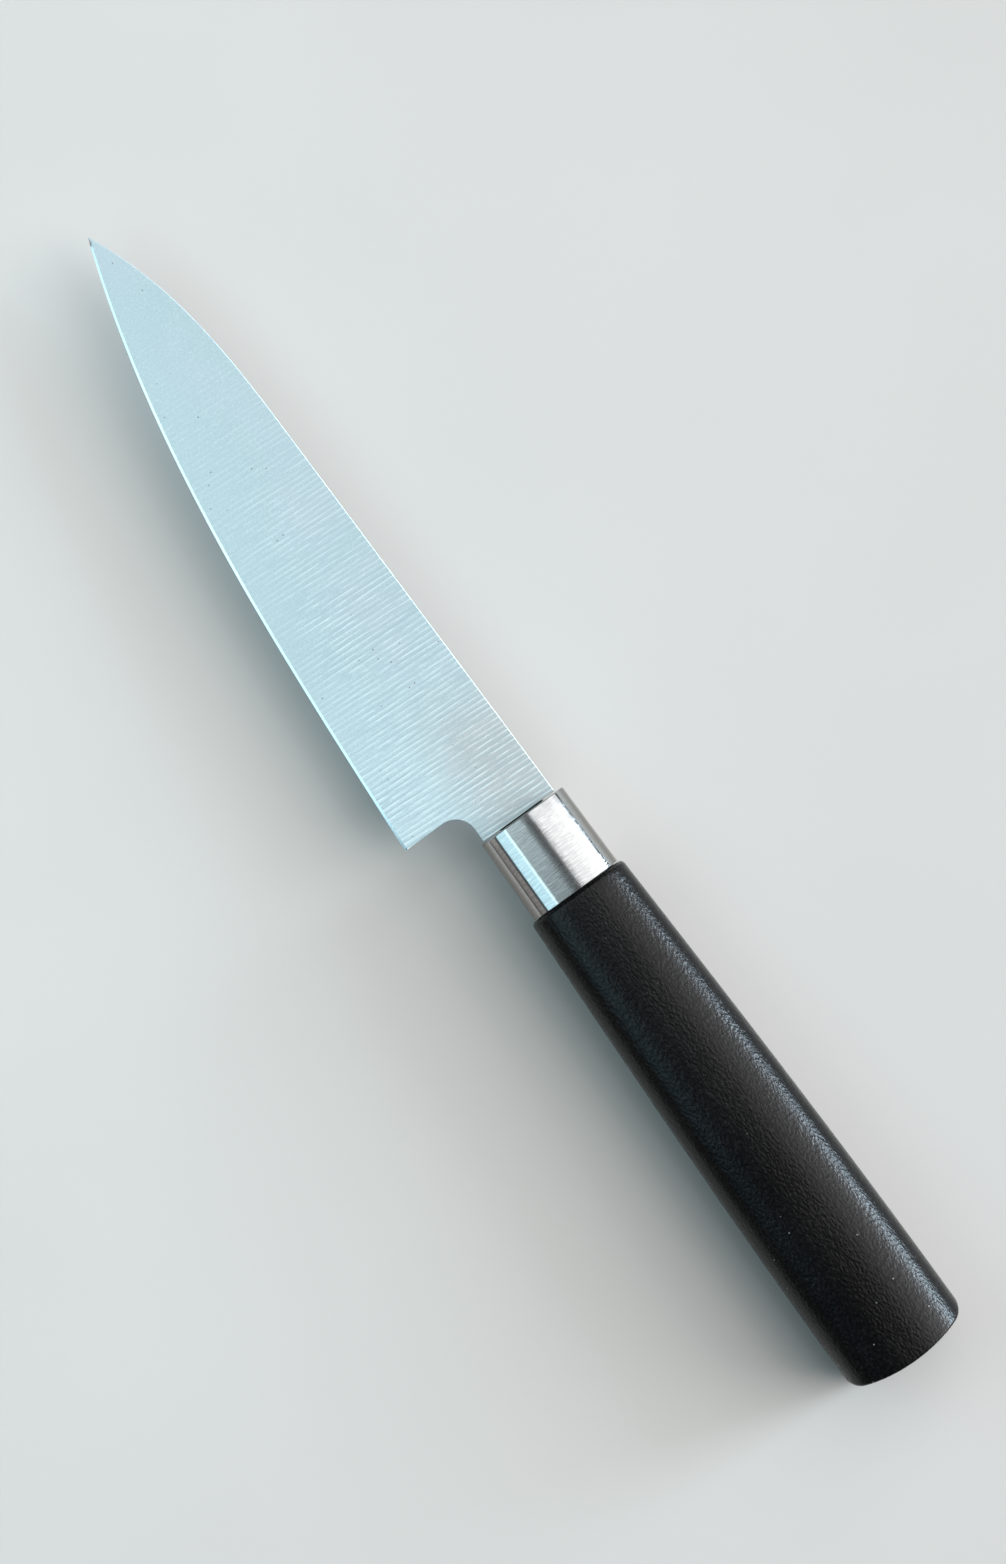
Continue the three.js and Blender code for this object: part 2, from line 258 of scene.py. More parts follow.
WELD_DISTANCE = 0.004 * MM
SHARP_ANGLE = math.radians(32)


def finish_mesh(skin, name):
    """Closed mesh from the skin, welded, facing outwards, with its sharp corners marked."""
    bmesh.ops.remove_doubles(skin, verts=skin.verts, dist=WELD_DISTANCE)
    bmesh.ops.recalc_face_normals(skin, faces=skin.faces)
    for edge in skin.edges:
        edge.smooth = edge.calc_face_angle(0) < SHARP_ANGLE
    mesh = bpy.data.meshes.new(name)
    skin.to_mesh(mesh)
    skin.free()
    return mesh


def blade_mesh():
    skin = bmesh.new()
    bevel_layer = skin.faces.layers.float.new("bevel")
    stations, root, root_end = blade_stations()
    sides = {}
    for upper in (True, False):
        sides[upper] = [[skin.verts.new(point) for point in loop] for loop in skin_loops(stations, upper)]
    skin_rows = sides[True] + sides[False][::-1]
    for first, second in zip(skin_rows, skin_rows[1:]):
        for face, start in zip(bridge(skin, first, second), range(len(stations))):
            ends = (stations[start][2], stations[(start + 1) % len(stations)][2])
            face[bevel_layer] = float(ends == ("bevel", "bevel"))
    holes = {}
    for upper in (True, False):
        side = sides[upper][0]
        normal = (0, 0, 1 if upper else -1)
        fill_flat(skin, [side[:root + 1] + side[root_end - 1:]], normal)
        skin.faces.new((side[root], side[root + 1], side[root_end - 2], side[root_end - 1]))
        holes[upper] = [hole_ring(skin, backset, upper) for backset in TANG_HOLE_BACKSETS]
        fill_flat(skin, [side[root + 1:root_end - 1]] + holes[upper], normal)
    for upper_ring, lower_ring in zip(holes[True], holes[False]):
        bridge(skin, upper_ring, lower_ring)
    return finish_mesh(skin, "blade_skin")


class NodeValue:
    """An output of a node, which ordinary sums can be written with."""

    def __init__(self, tree, socket):
        self.tree = tree
        self.socket = socket

    def math(self, operation, *others):
        node = self.tree.nodes.new("ShaderNodeMath")
        node.operation = operation
        for socket, value in zip(node.inputs, (self, *others)):
            feed(self.tree, socket, value)
        return NodeValue(self.tree, node.outputs[0])

    def __add__(self, other):
        return self.math("ADD", other)

    def __sub__(self, other):
        return self.math("SUBTRACT", other)

    def __mul__(self, other):
        return self.math("MULTIPLY", other)

    def __truediv__(self, other):
        return self.math("DIVIDE", other)

    def __pow__(self, other):
        return self.math("POWER", other)

    def flipped(self):
        """One minus the value."""
        return self * -1 + 1


def feed(tree, socket, value):
    if isinstance(value, NodeValue):
        tree.links.new(value.socket, socket)
    else:
        socket.default_value = value


def add_node(tree, kind, inputs, **settings):
    node = tree.nodes.new(kind)
    for name, setting in settings.items():
        setattr(node, name, setting)
    for name, value in inputs.items():
        feed(tree, node.inputs[name], value)
    return node


def ramp(value, start, end, low=0.0, high=1.0):
    """The value spread from low to high as it goes from start to end, and held outside that."""
    inputs = {"Value": value, "From Min": start, "From Max": end, "To Min": low, "To Max": high}
    return NodeValue(value.tree, add_node(value.tree, "ShaderNodeMapRange", inputs).outputs[0])


def ramp_before(value, place, stretch):
    """Grows from 0 to 1 along a stretch, whose start and end are given as distances before the place."""
    start, end = stretch
    return ramp(value, place - start, place - end)


def split(vector):
    node = add_node(vector.tree, "ShaderNodeSeparateXYZ", {"Vector": vector})
    return [NodeValue(vector.tree, output) for output in node.outputs]


def join(tree, x, y, z):
    node = add_node(tree, "ShaderNodeCombineXYZ", {"X": x, "Y": y, "Z": z})
    return NodeValue(tree, node.outputs[0])


def noise(vector, scale, detail, roughness):
    inputs = {"Vector": vector, "Scale": scale, "Detail": detail, "Roughness": roughness}
    return NodeValue(vector.tree, add_node(vector.tree, "ShaderNodeTexNoise", inputs).outputs["Fac"])


MIX_FACTOR, MIX_FIRST, MIX_SECOND, MIX_RESULT = 0, 6, 7, 2  # colour sockets of the Mix node


def mix_colour(share, first, second):
    node = add_node(share.tree, "ShaderNodeMix", {}, data_type="RGBA")
    feed(share.tree, node.inputs[MIX_FACTOR], share)
    feed(share.tree, node.inputs[MIX_FIRST], first)
    feed(share.tree, node.inputs[MIX_SECOND], second)
    return NodeValue(share.tree, node.outputs[MIX_RESULT])


def new_group(name, kind, inputs, outputs):
    """Node group with named inputs; gives the group, its inputs by name and its output node."""
    tree = bpy.data.node_groups.new(name, kind)
    for socket_name, socket_kind in inputs.items():
        tree.interface.new_socket(socket_name, in_out="INPUT", socket_type=socket_kind)
    for socket_name, socket_kind in outputs.items():
        tree.interface.new_socket(socket_name, in_out="OUTPUT", socket_type=socket_kind)
    source = tree.nodes.new("NodeGroupInput")
    given = {socket_name: NodeValue(tree, source.outputs[socket_name]) for socket_name in inputs}
    return tree, given, tree.nodes.new("NodeGroupOutput")


def place_group(tree, group, inputs):
    node = tree.nodes.new("ShaderNodeGroup")
    node.node_tree = group
    for name, value in inputs.items():
        feed(tree, node.inputs[name], value)
    return {output.name: NodeValue(tree, output) for output in node.outputs}


LINE_WAVER = 1.1  # how far a brush line strays from its even place, in spacings
WAVER_ALONG = 0.25  # how quickly the straying changes from line to line
WAVER_ACROSS = 0.6  # how quickly it changes along a line
SECOND_WAVE = 0.3  # share of a wave at half the spacing, which makes the lines uneven
SECOND_WAVE_LAG = 0.9
SCRATCHES_ALONG = 3  # how much closer together the scratches are than the lines
SCRATCHES_ACROSS = 4  # how much shorter they are
STREAKS_ALONG = 0.5


def brushed_lines_group():
    """Marks that a belt leaves: lines that follow each other along X at an even spacing and waver a little
    as they run across it, finer scratches among them, and broader streaks."""
    inputs = {"Position": "NodeSocketVector", "Spacing": "NodeSocketFloat", "Run": "NodeSocketFloat"}
    outputs = {"Lines": "NodeSocketFloat", "Scratches": "NodeSocketFloat", "Streaks": "NodeSocketFloat"}
    tree, given, result = new_group("brushed_lines", "ShaderNodeTree", inputs, outputs)
    x, y, z = split(given["Position"])
    count = x / given["Spacing"]
    y_run = y / given["Run"]
    z_run = z / given["Run"]
    waver_place = join(tree, count * WAVER_ALONG, y_run * WAVER_ACROSS, z_run * WAVER_ACROSS)
    waver = noise(waver_place, scale=1.0, detail=2.0, roughness=0.5) * LINE_WAVER
    turn = (count + waver) * FULL_TURN
    second_turn = turn * 2 + SECOND_WAVE_LAG
    wave = turn.math("SINE") * (1 - SECOND_WAVE) + second_turn.math("SINE") * SECOND_WAVE
    feed(tree, result.inputs["Lines"], wave * 0.5 + 0.5)
    scratch_place = join(tree, count * SCRATCHES_ALONG, y_run * SCRATCHES_ACROSS, z_run * SCRATCHES_ACROSS)
    feed(tree, result.inputs["Scratches"], noise(scratch_place, scale=1.0, detail=3.0, roughness=0.65))
    streak_place = join(tree, count * STREAKS_ALONG, y_run, z_run)
    feed(tree, result.inputs["Streaks"], noise(streak_place, scale=1.0, detail=2.0, roughness=0.5))
    return tree


SPECK_CORE = 0.6  # share of a speck's radius inside its soft rim


def scattered_specks_group():
    """Round specks of one size, in some of the cells of a loose grid."""
    inputs = {
        "Position": "NodeSocketVector",
        "Spacing": "NodeSocketFloat",
        "Size": "NodeSocketFloat",
        "Share": "NodeSocketFloat",
    }
    outputs = {"Mask": "NodeSocketFloat"}
    tree, given, result = new_group("scattered_specks", "ShaderNodeTree", inputs, outputs)
    cells = add_node(tree, "ShaderNodeTexVoronoi", {
        "Vector": given["Position"],
        "Scale": given["Spacing"] ** -1,
        "Randomness": 1.0,
    })
    radius = given["Size"] / given["Spacing"] / 2
    inside = ramp(NodeValue(tree, cells.outputs["Distance"]), radius, radius * SPECK_CORE)
    chance = split(NodeValue(tree, cells.outputs["Color"]))[0]
    chosen = chance.math("LESS_THAN", given["Share"])
    feed(tree, result.inputs["Mask"], inside * chosen)
    return tree


PATCH_RANGE = (0.3, 0.7)  # part of the noise that goes from no patch to a full one


def soft_patches_group():
    """Broad soft patches, as handling and uneven polish leave them."""
    inputs = {"Position": "NodeSocketVector", "Spacing": "NodeSocketFloat"}
    outputs = {"Patches": "NodeSocketFloat"}
    tree, given, result = new_group("soft_patches", "ShaderNodeTree", inputs, outputs)
    patches = noise(given["Position"], scale=given["Spacing"] ** -1, detail=2.0, roughness=0.5)
    feed(tree, result.inputs["Patches"], ramp(patches, *PATCH_RANGE))
    return tree


brushed_lines = brushed_lines_group()
scattered_specks = scattered_specks_group()
soft_patches = soft_patches_group()


def new_material(name, **constants):
    """Material with one Principled shader, whose constant values are set on its own sockets."""
    material = bpy.data.materials.new(name)
    material.use_nodes = True
    tree = material.node_tree
    tree.nodes.clear()
    output = tree.nodes.new("ShaderNodeOutputMaterial")
    shader = tree.nodes.new("ShaderNodeBsdfPrincipled")
    tree.links.new(shader.outputs["BSDF"], output.inputs["Surface"])
    for socket_name, value in constants.items():
        shader.inputs[socket_name.replace("_", " ")].default_value = value
    coordinates = tree.nodes.new("ShaderNodeTexCoord")
    return material, tree, shader, NodeValue(tree, coordinates.outputs["Object"])


def bump(height, strength, distance):
    node = add_node(height.tree, "ShaderNodeBump", {
        "Strength": strength,
        "Distance": distance,
        "Height": height,
    })
    return NodeValue(height.tree, node.outputs["Normal"])


BRUSH_TILT = math.radians(2.8)  # the brushing leans towards the handle at the spine
BLADE_BRUSHING = {"Spacing": 0.98 * MM, "Run": 14 * MM}
BLADE_PATCHES = {"Spacing": 16 * MM}
BLADE_SPECKS = {"Spacing": 1.8 * MM, "Size": 0.32 * MM, "Share": 0.3}
BLADE_GRAIN_SIZE = 0.3 * MM

# Stretches before the heel along which the brushing deepens, painted light makes the steel paler and the
# neck turns grey
DEEPER_STRETCH = (45 * MM, 10 * MM)
PAINTED_LIGHT_STRETCH = (35 * MM, 5 * MM)
GREYER_STRETCH = (22 * MM, 8 * MM)
SPINE_STRETCH = (10 * MM, 1 * MM)  # below the handle's axis, where the spine's colours come in
JOINT_SHADE_STRETCH = (0.08 * MM, 0.03 * MM)  # before the shoulder, where the painted shade in the joint begins
FAINT_STRETCH = (1 * MM, 9 * MM)  # above the edge, where the brushing is fainter
FAINT_SHARE = 0.35
PLAIN_TIP = 20 * MM  # length that has no brush lines
LEAST_DEPTH = 0.8  # of the brushing, between the patches
PATCH_DEPTH = 0.4  # more of it in the patches

# Parts of the waves and noises that show, from none to full
DEEP_GRAIN = (0.5, 0.3)
BRIGHT_GRAIN = (0.55, 0.75)
DARK_LINES = (0.46, 0.2)
DARK_STREAKS = (0.3, 0.6)
PALE_LINES = (0.62, 0.84)
PALE_SCRATCHES = (0.38, 0.6)
DEEP_SCRATCHES = (0.5, 0.25)
ROUGH_SCRATCHES = (0.2, 0.8)

LILAC_SHARE = 0.5
DEEP_GRAIN_SHARE = 0.5
BRIGHT_GRAIN_SHARE = 0.6
DARK_LINE_SHARE = 0.6
SCRATCH_SHARE = 0.55
LEAST_SCRATCHES = 0.1  # where the brushing has faded
BLADE_SPECK_SHARE = 0.8
BLADE_ROUGHNESS = (0.52, 0.44)  # in deep scratches and beside them
PATCH_ROUGHNESS = 0.03
BEVEL_ROUGHNESS = 0.2
SCRATCH_HEIGHT = 0.5  # against a brush line's
BRUSH_BUMP = {"strength": 0.4, "distance": 0.02 * MM}

BLADE_CYAN = (0.515, 0.65, 0.69, 1)
BLADE_LILAC = (0.58, 0.635, 0.7, 1)
BLADE_PAINTED_LIGHT = (0.615, 0.76, 0.81, 1)
BLADE_GREY = (0.575, 0.6, 0.6, 1)
BLADE_DEEP = (0.42, 0.55, 0.6, 1)
BLADE_BRIGHT = (0.84, 0.95, 0.98, 1)
BLADE_GLEAM = (0.1, 0.11, 0.12, 1)  # tint of its reflections at a low angle
BEVEL_STEEL = (0.8, 0.88, 0.92, 1)
SPECK_BROWN = (0.12, 0.1, 0.09, 1)
JOINT_PAINTED_SHADE = (0.03, 0.027, 0.025, 1)


def blade_steel():
    constants = {"Metallic": 1.0, "Specular_Tint": BLADE_GLEAM}
    material, tree, shader, position = new_material("satin_blade_steel", **constants)
    attribute = add_node(tree, "ShaderNodeAttribute", {}, attribute_name="bevel")
    bevel = NodeValue(tree, attribute.outputs["Fac"])
    turned = add_node(tree, "ShaderNodeMapping", {"Vector": position, "Rotation": (0, 0, BRUSH_TILT)})
    brush_position = NodeValue(tree, turned.outputs["Vector"])
    brushed = place_group(tree, brushed_lines, {"Position": brush_position, **BLADE_BRUSHING})
    patches = place_group(tree, soft_patches, {"Position": position, **BLADE_PATCHES})["Patches"]
    specks = place_group(tree, scattered_specks, {"Position": position, **BLADE_SPECKS})["Mask"]
    x, y, _ = split(position)
    tip_place = AXIS_POINT.x + TIP_X
    heel_place = AXIS_POINT.x + HEEL_X

    # The brushing is deepest at the heel. Further on it fades towards the edge and the tip
    near_heel = ramp_before(x, heel_place, DEEPER_STRETCH)
    edge_place = ramp(x, heel_place, tip_place, HEEL_Y, HEEL_Y + EDGE_SLOPE_SHARE * (TIP_Y - HEEL_Y))
    from_edge = y - edge_place - AXIS_POINT.y
    inside = ramp(from_edge, *FAINT_STRETCH, low=FAINT_SHARE)
    depth = ramp(x, tip_place + PLAIN_TIP, heel_place) * (patches * PATCH_DEPTH + LEAST_DEPTH)
    depth = depth * inside.math("MAXIMUM", near_heel)

    # The last stretch before the ferrule is painted paler, painted light against its shade, and greyer
    # towards the spine
    colour = mix_colour(ramp_before(x, heel_place, PAINTED_LIGHT_STRETCH), BLADE_CYAN, BLADE_PAINTED_LIGHT)
    neck = ramp_before(x, heel_place, GREYER_STRETCH)
    towards_spine = ramp_before(y, AXIS_POINT.y, SPINE_STRETCH)
    colour = mix_colour(patches * towards_spine * LILAC_SHARE, colour, BLADE_LILAC)
    colour = mix_colour(neck * towards_spine, colour, BLADE_GREY)

    grain = noise(position, scale=1 / BLADE_GRAIN_SIZE, detail=3.0, roughness=0.75)
    colour = mix_colour(ramp(grain, *DEEP_GRAIN) * DEEP_GRAIN_SHARE, colour, BLADE_DEEP)
    colour = mix_colour(ramp(grain, *BRIGHT_GRAIN) * BRIGHT_GRAIN_SHARE, colour, BLADE_BRIGHT)
    dark_lines = ramp(brushed["Lines"], *DARK_LINES) * ramp(brushed["Streaks"], *DARK_STREAKS) * depth
    pale_lines = ramp(brushed["Lines"], *PALE_LINES) * ramp(brushed["Scratches"], *PALE_SCRATCHES) * depth
    scratch_depth = depth * (1 - LEAST_SCRATCHES) + LEAST_SCRATCHES
    scratches = ramp(brushed["Scratches"], *DEEP_SCRATCHES) * scratch_depth
    colour = mix_colour(dark_lines * DARK_LINE_SHARE + scratches * SCRATCH_SHARE, colour, BLADE_DEEP)
    colour = mix_colour(pale_lines, colour, BLADE_BRIGHT)
    colour = mix_colour(specks * BLADE_SPECK_SHARE, colour, SPECK_BROWN)
    colour = mix_colour(bevel, colour, BEVEL_STEEL)

    # Painted shade darkens the joint line before the ferrule
    joint_shade = ramp_before(x, AXIS_POINT.x + SHOULDER_X, JOINT_SHADE_STRETCH)
    colour = mix_colour(joint_shade, colour, JOINT_PAINTED_SHADE)
    feed(tree, shader.inputs["Base Color"], colour)

    satin = ramp(brushed["Scratches"], *ROUGH_SCRATCHES, *BLADE_ROUGHNESS) + patches * PATCH_ROUGHNESS
    feed(tree, shader.inputs["Roughness"], satin * bevel.flipped() + bevel * BEVEL_ROUGHNESS)
    height = (brushed["Lines"] + brushed["Scratches"] * SCRATCH_HEIGHT) * depth * bevel.flipped()
    feed(tree, shader.inputs["Normal"], bump(height, **BRUSH_BUMP))
    return material


def add_piece(name, mesh, node):
    piece = bpy.data.objects.new(name, mesh)
    bpy.context.scene.collection.objects.link(piece)
    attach(piece, "root")
    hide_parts(node)


blade_skin = blade_mesh()
blade_skin.materials.append(blade_steel())
add_piece("ground_blade", blade_skin, "blade")


# Ferrule: an oval collar drawn from stainless sheet, a little wider at the back, with a front wall that is
# slotted for the tang. It is brushed round, polished bright and bonded over the handle's spigot.
ferrule_size = ferrule_high - ferrule_low
FERRULE_FLARE = 0.4 * MM  # the back is this much wider than the front
FERRULE_WALL = 0.8 * MM
FERRULE_FACE = 1 * MM
FERRULE_EDGE_RADIUS = 0.3 * MM
SLOT_CLEARANCE = 0.3 * MM
OVAL_POWER = 2.6  # a plain ellipse has power 2, and a higher power is squarer
SLOT_POWER = 5
AROUND_STEPS = 208
ROUNDING_STEPS = 8
OUTSIDE_STEPS = 8


def oval_point(angle, half_width, half_thickness, power):
    """Across and upward places of a point on an oval."""
    places = []
    for operation, half in (("COSINE", half_width), ("SINE", half_thickness)):
        share = angle.math(operation)
        places.append(share.math("SIGN") * share.math("ABSOLUTE") ** (2 / power) * half)
    return places


def mixed(share, first, second):
    return (second - first) * share + first


def oval_tree(name, sizes, profile_steps):
    """Tree that bends a flat grid round X. Gives its sizes, the shares of its stretches and the angle."""
    inputs = {size: "NodeSocketFloat" for size in sizes}
    inputs["Axis Point"] = "NodeSocketVector"
    inputs["Material"] = "NodeSocketMaterial"
    tree, given, result = new_group(name, "GeometryNodeTree", inputs, {"Mesh": "NodeSocketGeometry"})
    total = sum(profile_steps)
    grid = add_node(tree, "GeometryNodeMeshGrid", {
        "Size X": 1.0,
        "Size Y": 1.0,
        "Vertices X": total + 1,
        "Vertices Y": AROUND_STEPS + 1,
    })
    place = NodeValue(tree, tree.nodes.new("GeometryNodeInputPosition").outputs["Position"])
    along, around, _ = split(place)
    row = (along + 0.5) * total
    shares = []
    start = 0
    for steps in profile_steps:
        shares.append(ramp(row, start, start + steps))
        start += steps
    return tree, given, result, grid, shares, (around + 0.5) * FULL_TURN


def close_tree(tree, given, result, grid, x, y, z):
    """Moves the grid to its places, welds its seam and poles and gives it its material."""
    offset = add_node(tree, "ShaderNodeVectorMath", {}, operation="ADD")
    feed(tree, offset.inputs[0], join(tree, x, y, z))
    feed(tree, offset.inputs[1], given["Axis Point"])
    moved = add_node(tree, "GeometryNodeSetPosition", {
        "Geometry": NodeValue(tree, grid.outputs["Mesh"]),
        "Position": NodeValue(tree, offset.outputs[0]),
    })
    welded = add_node(tree, "GeometryNodeMergeByDistance", {
        "Geometry": NodeValue(tree, moved.outputs["Geometry"]),
        "Distance": WELD_DISTANCE,
    })
    smooth = add_node(tree, "GeometryNodeSetShadeSmooth", {
        "Geometry": NodeValue(tree, welded.outputs["Geometry"]),
    })
    real = add_node(tree, "GeometryNodeRealizeInstances", {
        "Geometry": NodeValue(tree, smooth.outputs["Geometry"]),
    })
    coloured = add_node(tree, "GeometryNodeSetMaterial", {
        "Geometry": NodeValue(tree, real.outputs["Geometry"]),
        "Material": given["Material"],
    })
    feed(tree, result.inputs["Mesh"], NodeValue(tree, coloured.outputs["Geometry"]))


def mesh_from_tree(name, tree, sizes):
    """Plain mesh that the tree makes with these sizes."""
    maker = bpy.data.objects.new(name + "_maker", bpy.data.meshes.new(name + "_blank"))
    bpy.context.scene.collection.objects.link(maker)
    modifier = maker.modifiers.new(name, "NODES")
    modifier.node_group = tree
    for socket in tree.interface.items_tree:
        if socket.in_out == "INPUT":
            modifier[socket.identifier] = sizes[socket.name]
    evaluated = maker.evaluated_get(bpy.context.evaluated_depsgraph_get())
    made = bpy.data.meshes.new_from_object(evaluated)
    skin = bmesh.new()
    skin.from_mesh(made)
    mesh = finish_mesh(skin, name + "_skin")
    mesh.materials.append(sizes["Material"])
    maker.modifiers.clear()
    bpy.data.objects.remove(maker)
    return mesh


FERRULE_BRUSHING = {"Spacing": 0.5 * MM, "Run": 10 * MM}
FERRULE_PATCHES = {"Spacing": 5 * MM}
FERRULE_SPECKS = {"Spacing": 3 * MM, "Size": 0.2 * MM, "Share": 0.25}

# Parts of the scratches and streaks that show, from none to full
SHADE_SCRATCHES = (0.5, 0.25)
SHADE_STREAKS = (0.45, 0.2)
SHINE_SCRATCHES = (0.5, 0.8)
POLISH_SCRATCHES = (0.25, 0.75)

# Where each narrow side's painted reflection begins and where it is full, in half widths from the axis
EDGE_SIDE = (-0.74, -0.9)
SPINE_SIDE = (0.84, 0.93)

SHADE_SCRATCH_SHARE = 0.7
SHADE_STREAK_SHARE = 0.3
SHINE_SHARE = 0.8
FERRULE_SPECK_SHARE = 0.5
SIDE_REFLECTION_SHARE = 0.85
FERRULE_ROUGHNESS = (0.14, 0.07)  # in deep scratches and beside them
FERRULE_PATCH_ROUGHNESS = 0.02
STREAK_HEIGHT = 0.15  # against a scratch's

FERRULE_STEEL = (0.54, 0.555, 0.56, 1)
FERRULE_SHADE = (0.45, 0.465, 0.47, 1)
FERRULE_SHINE = (0.78, 0.79, 0.79, 1)
FERRULE_PAINTED_REFLECTION = (0.26, 0.235, 0.215, 1)


def ferrule_steel():
    material, tree, shader, position = new_material("polished_ferrule_steel", Metallic=1.0)
    brushed = place_group(tree, brushed_lines, {"Position": position, **FERRULE_BRUSHING})
    patches = place_group(tree, soft_patches, {"Position": position, **FERRULE_PATCHES})["Patches"]
    specks = place_group(tree, scattered_specks, {"Position": position, **FERRULE_SPECKS})["Mask"]
    scratches = brushed["Scratches"]
    streaks = brushed["Streaks"]
    shade = ramp(scratches, *SHADE_SCRATCHES) * SHADE_SCRATCH_SHARE
    shade = shade + ramp(streaks, *SHADE_STREAKS) * SHADE_STREAK_SHARE
    colour = mix_colour(shade, FERRULE_STEEL, FERRULE_SHADE)
    colour = mix_colour(ramp(scratches, *SHINE_SCRATCHES) * SHINE_SHARE, colour, FERRULE_SHINE)
    colour = mix_colour(specks * FERRULE_SPECK_SHARE, colour, SPECK_BROWN)

    # The narrow sides get a painted reflection of dim, warm surroundings, darker on the edge's side, which
    # faces shade
    aside = (split(position)[1] - AXIS_POINT.y) / (ferrule_size.y / 2)
    painted_side_reflection = ramp(aside, *EDGE_SIDE) + ramp(aside, *SPINE_SIDE)
    colour = mix_colour(painted_side_reflection * SIDE_REFLECTION_SHARE, colour, FERRULE_PAINTED_REFLECTION)
    feed(tree, shader.inputs["Base Color"], colour)

    polish = ramp(scratches, *POLISH_SCRATCHES, *FERRULE_ROUGHNESS) + patches * FERRULE_PATCH_ROUGHNESS
    feed(tree, shader.inputs["Roughness"], polish)
    feed(tree, shader.inputs["Normal"], bump(scratches + streaks * STREAK_HEIGHT, **BRUSH_BUMP))
    return material


def ferrule_tree():
    """Profile: out over the front wall, round its edge, back along the outside and in along the bore."""
    names = (
        "Length", "Rear Width", "Rear Thickness", "Flare", "Wall", "Face", "Edge Radius",
        "Slot Height", "Slot Width",
    )
    steps = (1, ROUNDING_STEPS, OUTSIDE_STEPS, 1, 1, 1, 1)
    tree, size, result, grid, shares, angle = oval_tree("drawn_ferrule", names, steps)
    front, rounding, outside, rear, bore, back, slot = shares
    turn = rounding * QUARTER_TURN
    radius = size["Edge Radius"]
    x = radius * turn.math("COSINE").flipped()
    x = x + (size["Length"] - radius) * outside
    x = x - (size["Length"] - size["Face"]) * bore - size["Face"] * slot
    inset = radius * turn.math("SINE").flipped() + size["Wall"] * rear
    taper = (x / size["Length"]).flipped() * size["Flare"]
    half_width = (size["Rear Width"] - taper) / 2 - inset
    half_thickness = (size["Rear Thickness"] - taper) / 2 - inset
    outer_y, outer_z = oval_point(angle, half_width, half_thickness, OVAL_POWER)
    slot_y, slot_z = oval_point(angle, size["Slot Height"] / 2, size["Slot Width"] / 2, SLOT_POWER)
    opened = front.flipped() + back
    close_tree(tree, size, result, grid, x, mixed(opened, outer_y, slot_y), mixed(opened, outer_z, slot_z))
    return tree


ferrule_skin = mesh_from_tree("ferrule", ferrule_tree(), {
    "Axis Point": AXIS_POINT,
    "Length": ferrule_size.x,
    "Rear Width": ferrule_size.y,
    "Rear Thickness": ferrule_size.z,
    "Flare": FERRULE_FLARE,
    "Wall": FERRULE_WALL,
    "Face": FERRULE_FACE,
    "Edge Radius": FERRULE_EDGE_RADIUS,
    "Slot Height": 2 * (TANG_HALF_HEIGHT + SLOT_CLEARANCE),
    "Slot Width": 2 * (HALF_SPINE + SLOT_CLEARANCE),
    "Material": ferrule_steel(),
})
add_piece("drawn_ferrule", ferrule_skin, "ferrule")


# Handle: one black moulding with a fine leathery grain. Its spigot fills the ferrule, its rim stands
# proud of it, and a socket inside takes the tang and its resin. The oval swells towards the butt, which is
# cut off upright; seen from above, the butt's end is a shallow arc between two rounded corners.
BOND_LINE = 0.1 * MM
RESIN_BED = 1.6 * MM  # between the ferrule's front wall and the spigot
BEDDING = 0.8 * MM
HANDLE_FRONT_WIDTH = 19.4 * MM
HANDLE_TAPER = 3 * MM  # the front is this much thinner than the butt
RIM_RADIUS = 0.9 * MM
BUTT_CORNER_RADIUS = 3 * MM
BUTT_CROWN_RADIUS = 34 * MM
BUTT_EDGE_RADIUS = 0.4 * MM
BODY_STEPS = 64
TAIL_STEPS = 10
END_STEPS = 16

PEBBLE_SIZE = 0.45 * MM
PEBBLE_SQUEEZE = 0.6  # along the handle, which makes the grain a little longer that way
PORE_SIZE = 0.22 * MM
HANDLE_PATCHES = {"Spacing": 14 * MM}
HANDLE_SPECKS = {"Spacing": 3.6 * MM, "Size": 0.36 * MM, "Share": 0.9}
DUST_STRETCH = (40 * MM, 110 * MM)  # behind the ferrule's front, where the dust grows denser
DUST_SHARES = (0.1, 0.9)

WORN_AND_LIT_PEBBLES = (0.45, 0.7)  # part of the pebbles' noise that shows as worn and lit tops, from none to full
LEAST_WEAR_AND_LIGHT = 0.6  # between the patches
PATCH_WEAR_AND_LIGHT = 0.4  # more of it in the patches
SMOOTH_PEBBLES = (0.3, 0.7)
HANDLE_ROUGHNESS = (0.27, 0.17)  # between the pebbles and on them
HANDLE_PATCH_ROUGHNESS = 0.03
PORE_ROUGHNESS = 0.04
DUST_ROUGHNESS = 0.3
PORE_HEIGHT = 0.2  # against a pebble's
GRAIN_BUMP = {"strength": 0.65, "distance": 0.12 * MM}

HANDLE_BLACK = (0.0006, 0.0006, 0.0008, 1)
HANDLE_WORN_AND_LIT = (0.009, 0.0085, 0.0085, 1)
DUST_GREY = (0.25, 0.25, 0.26, 1)


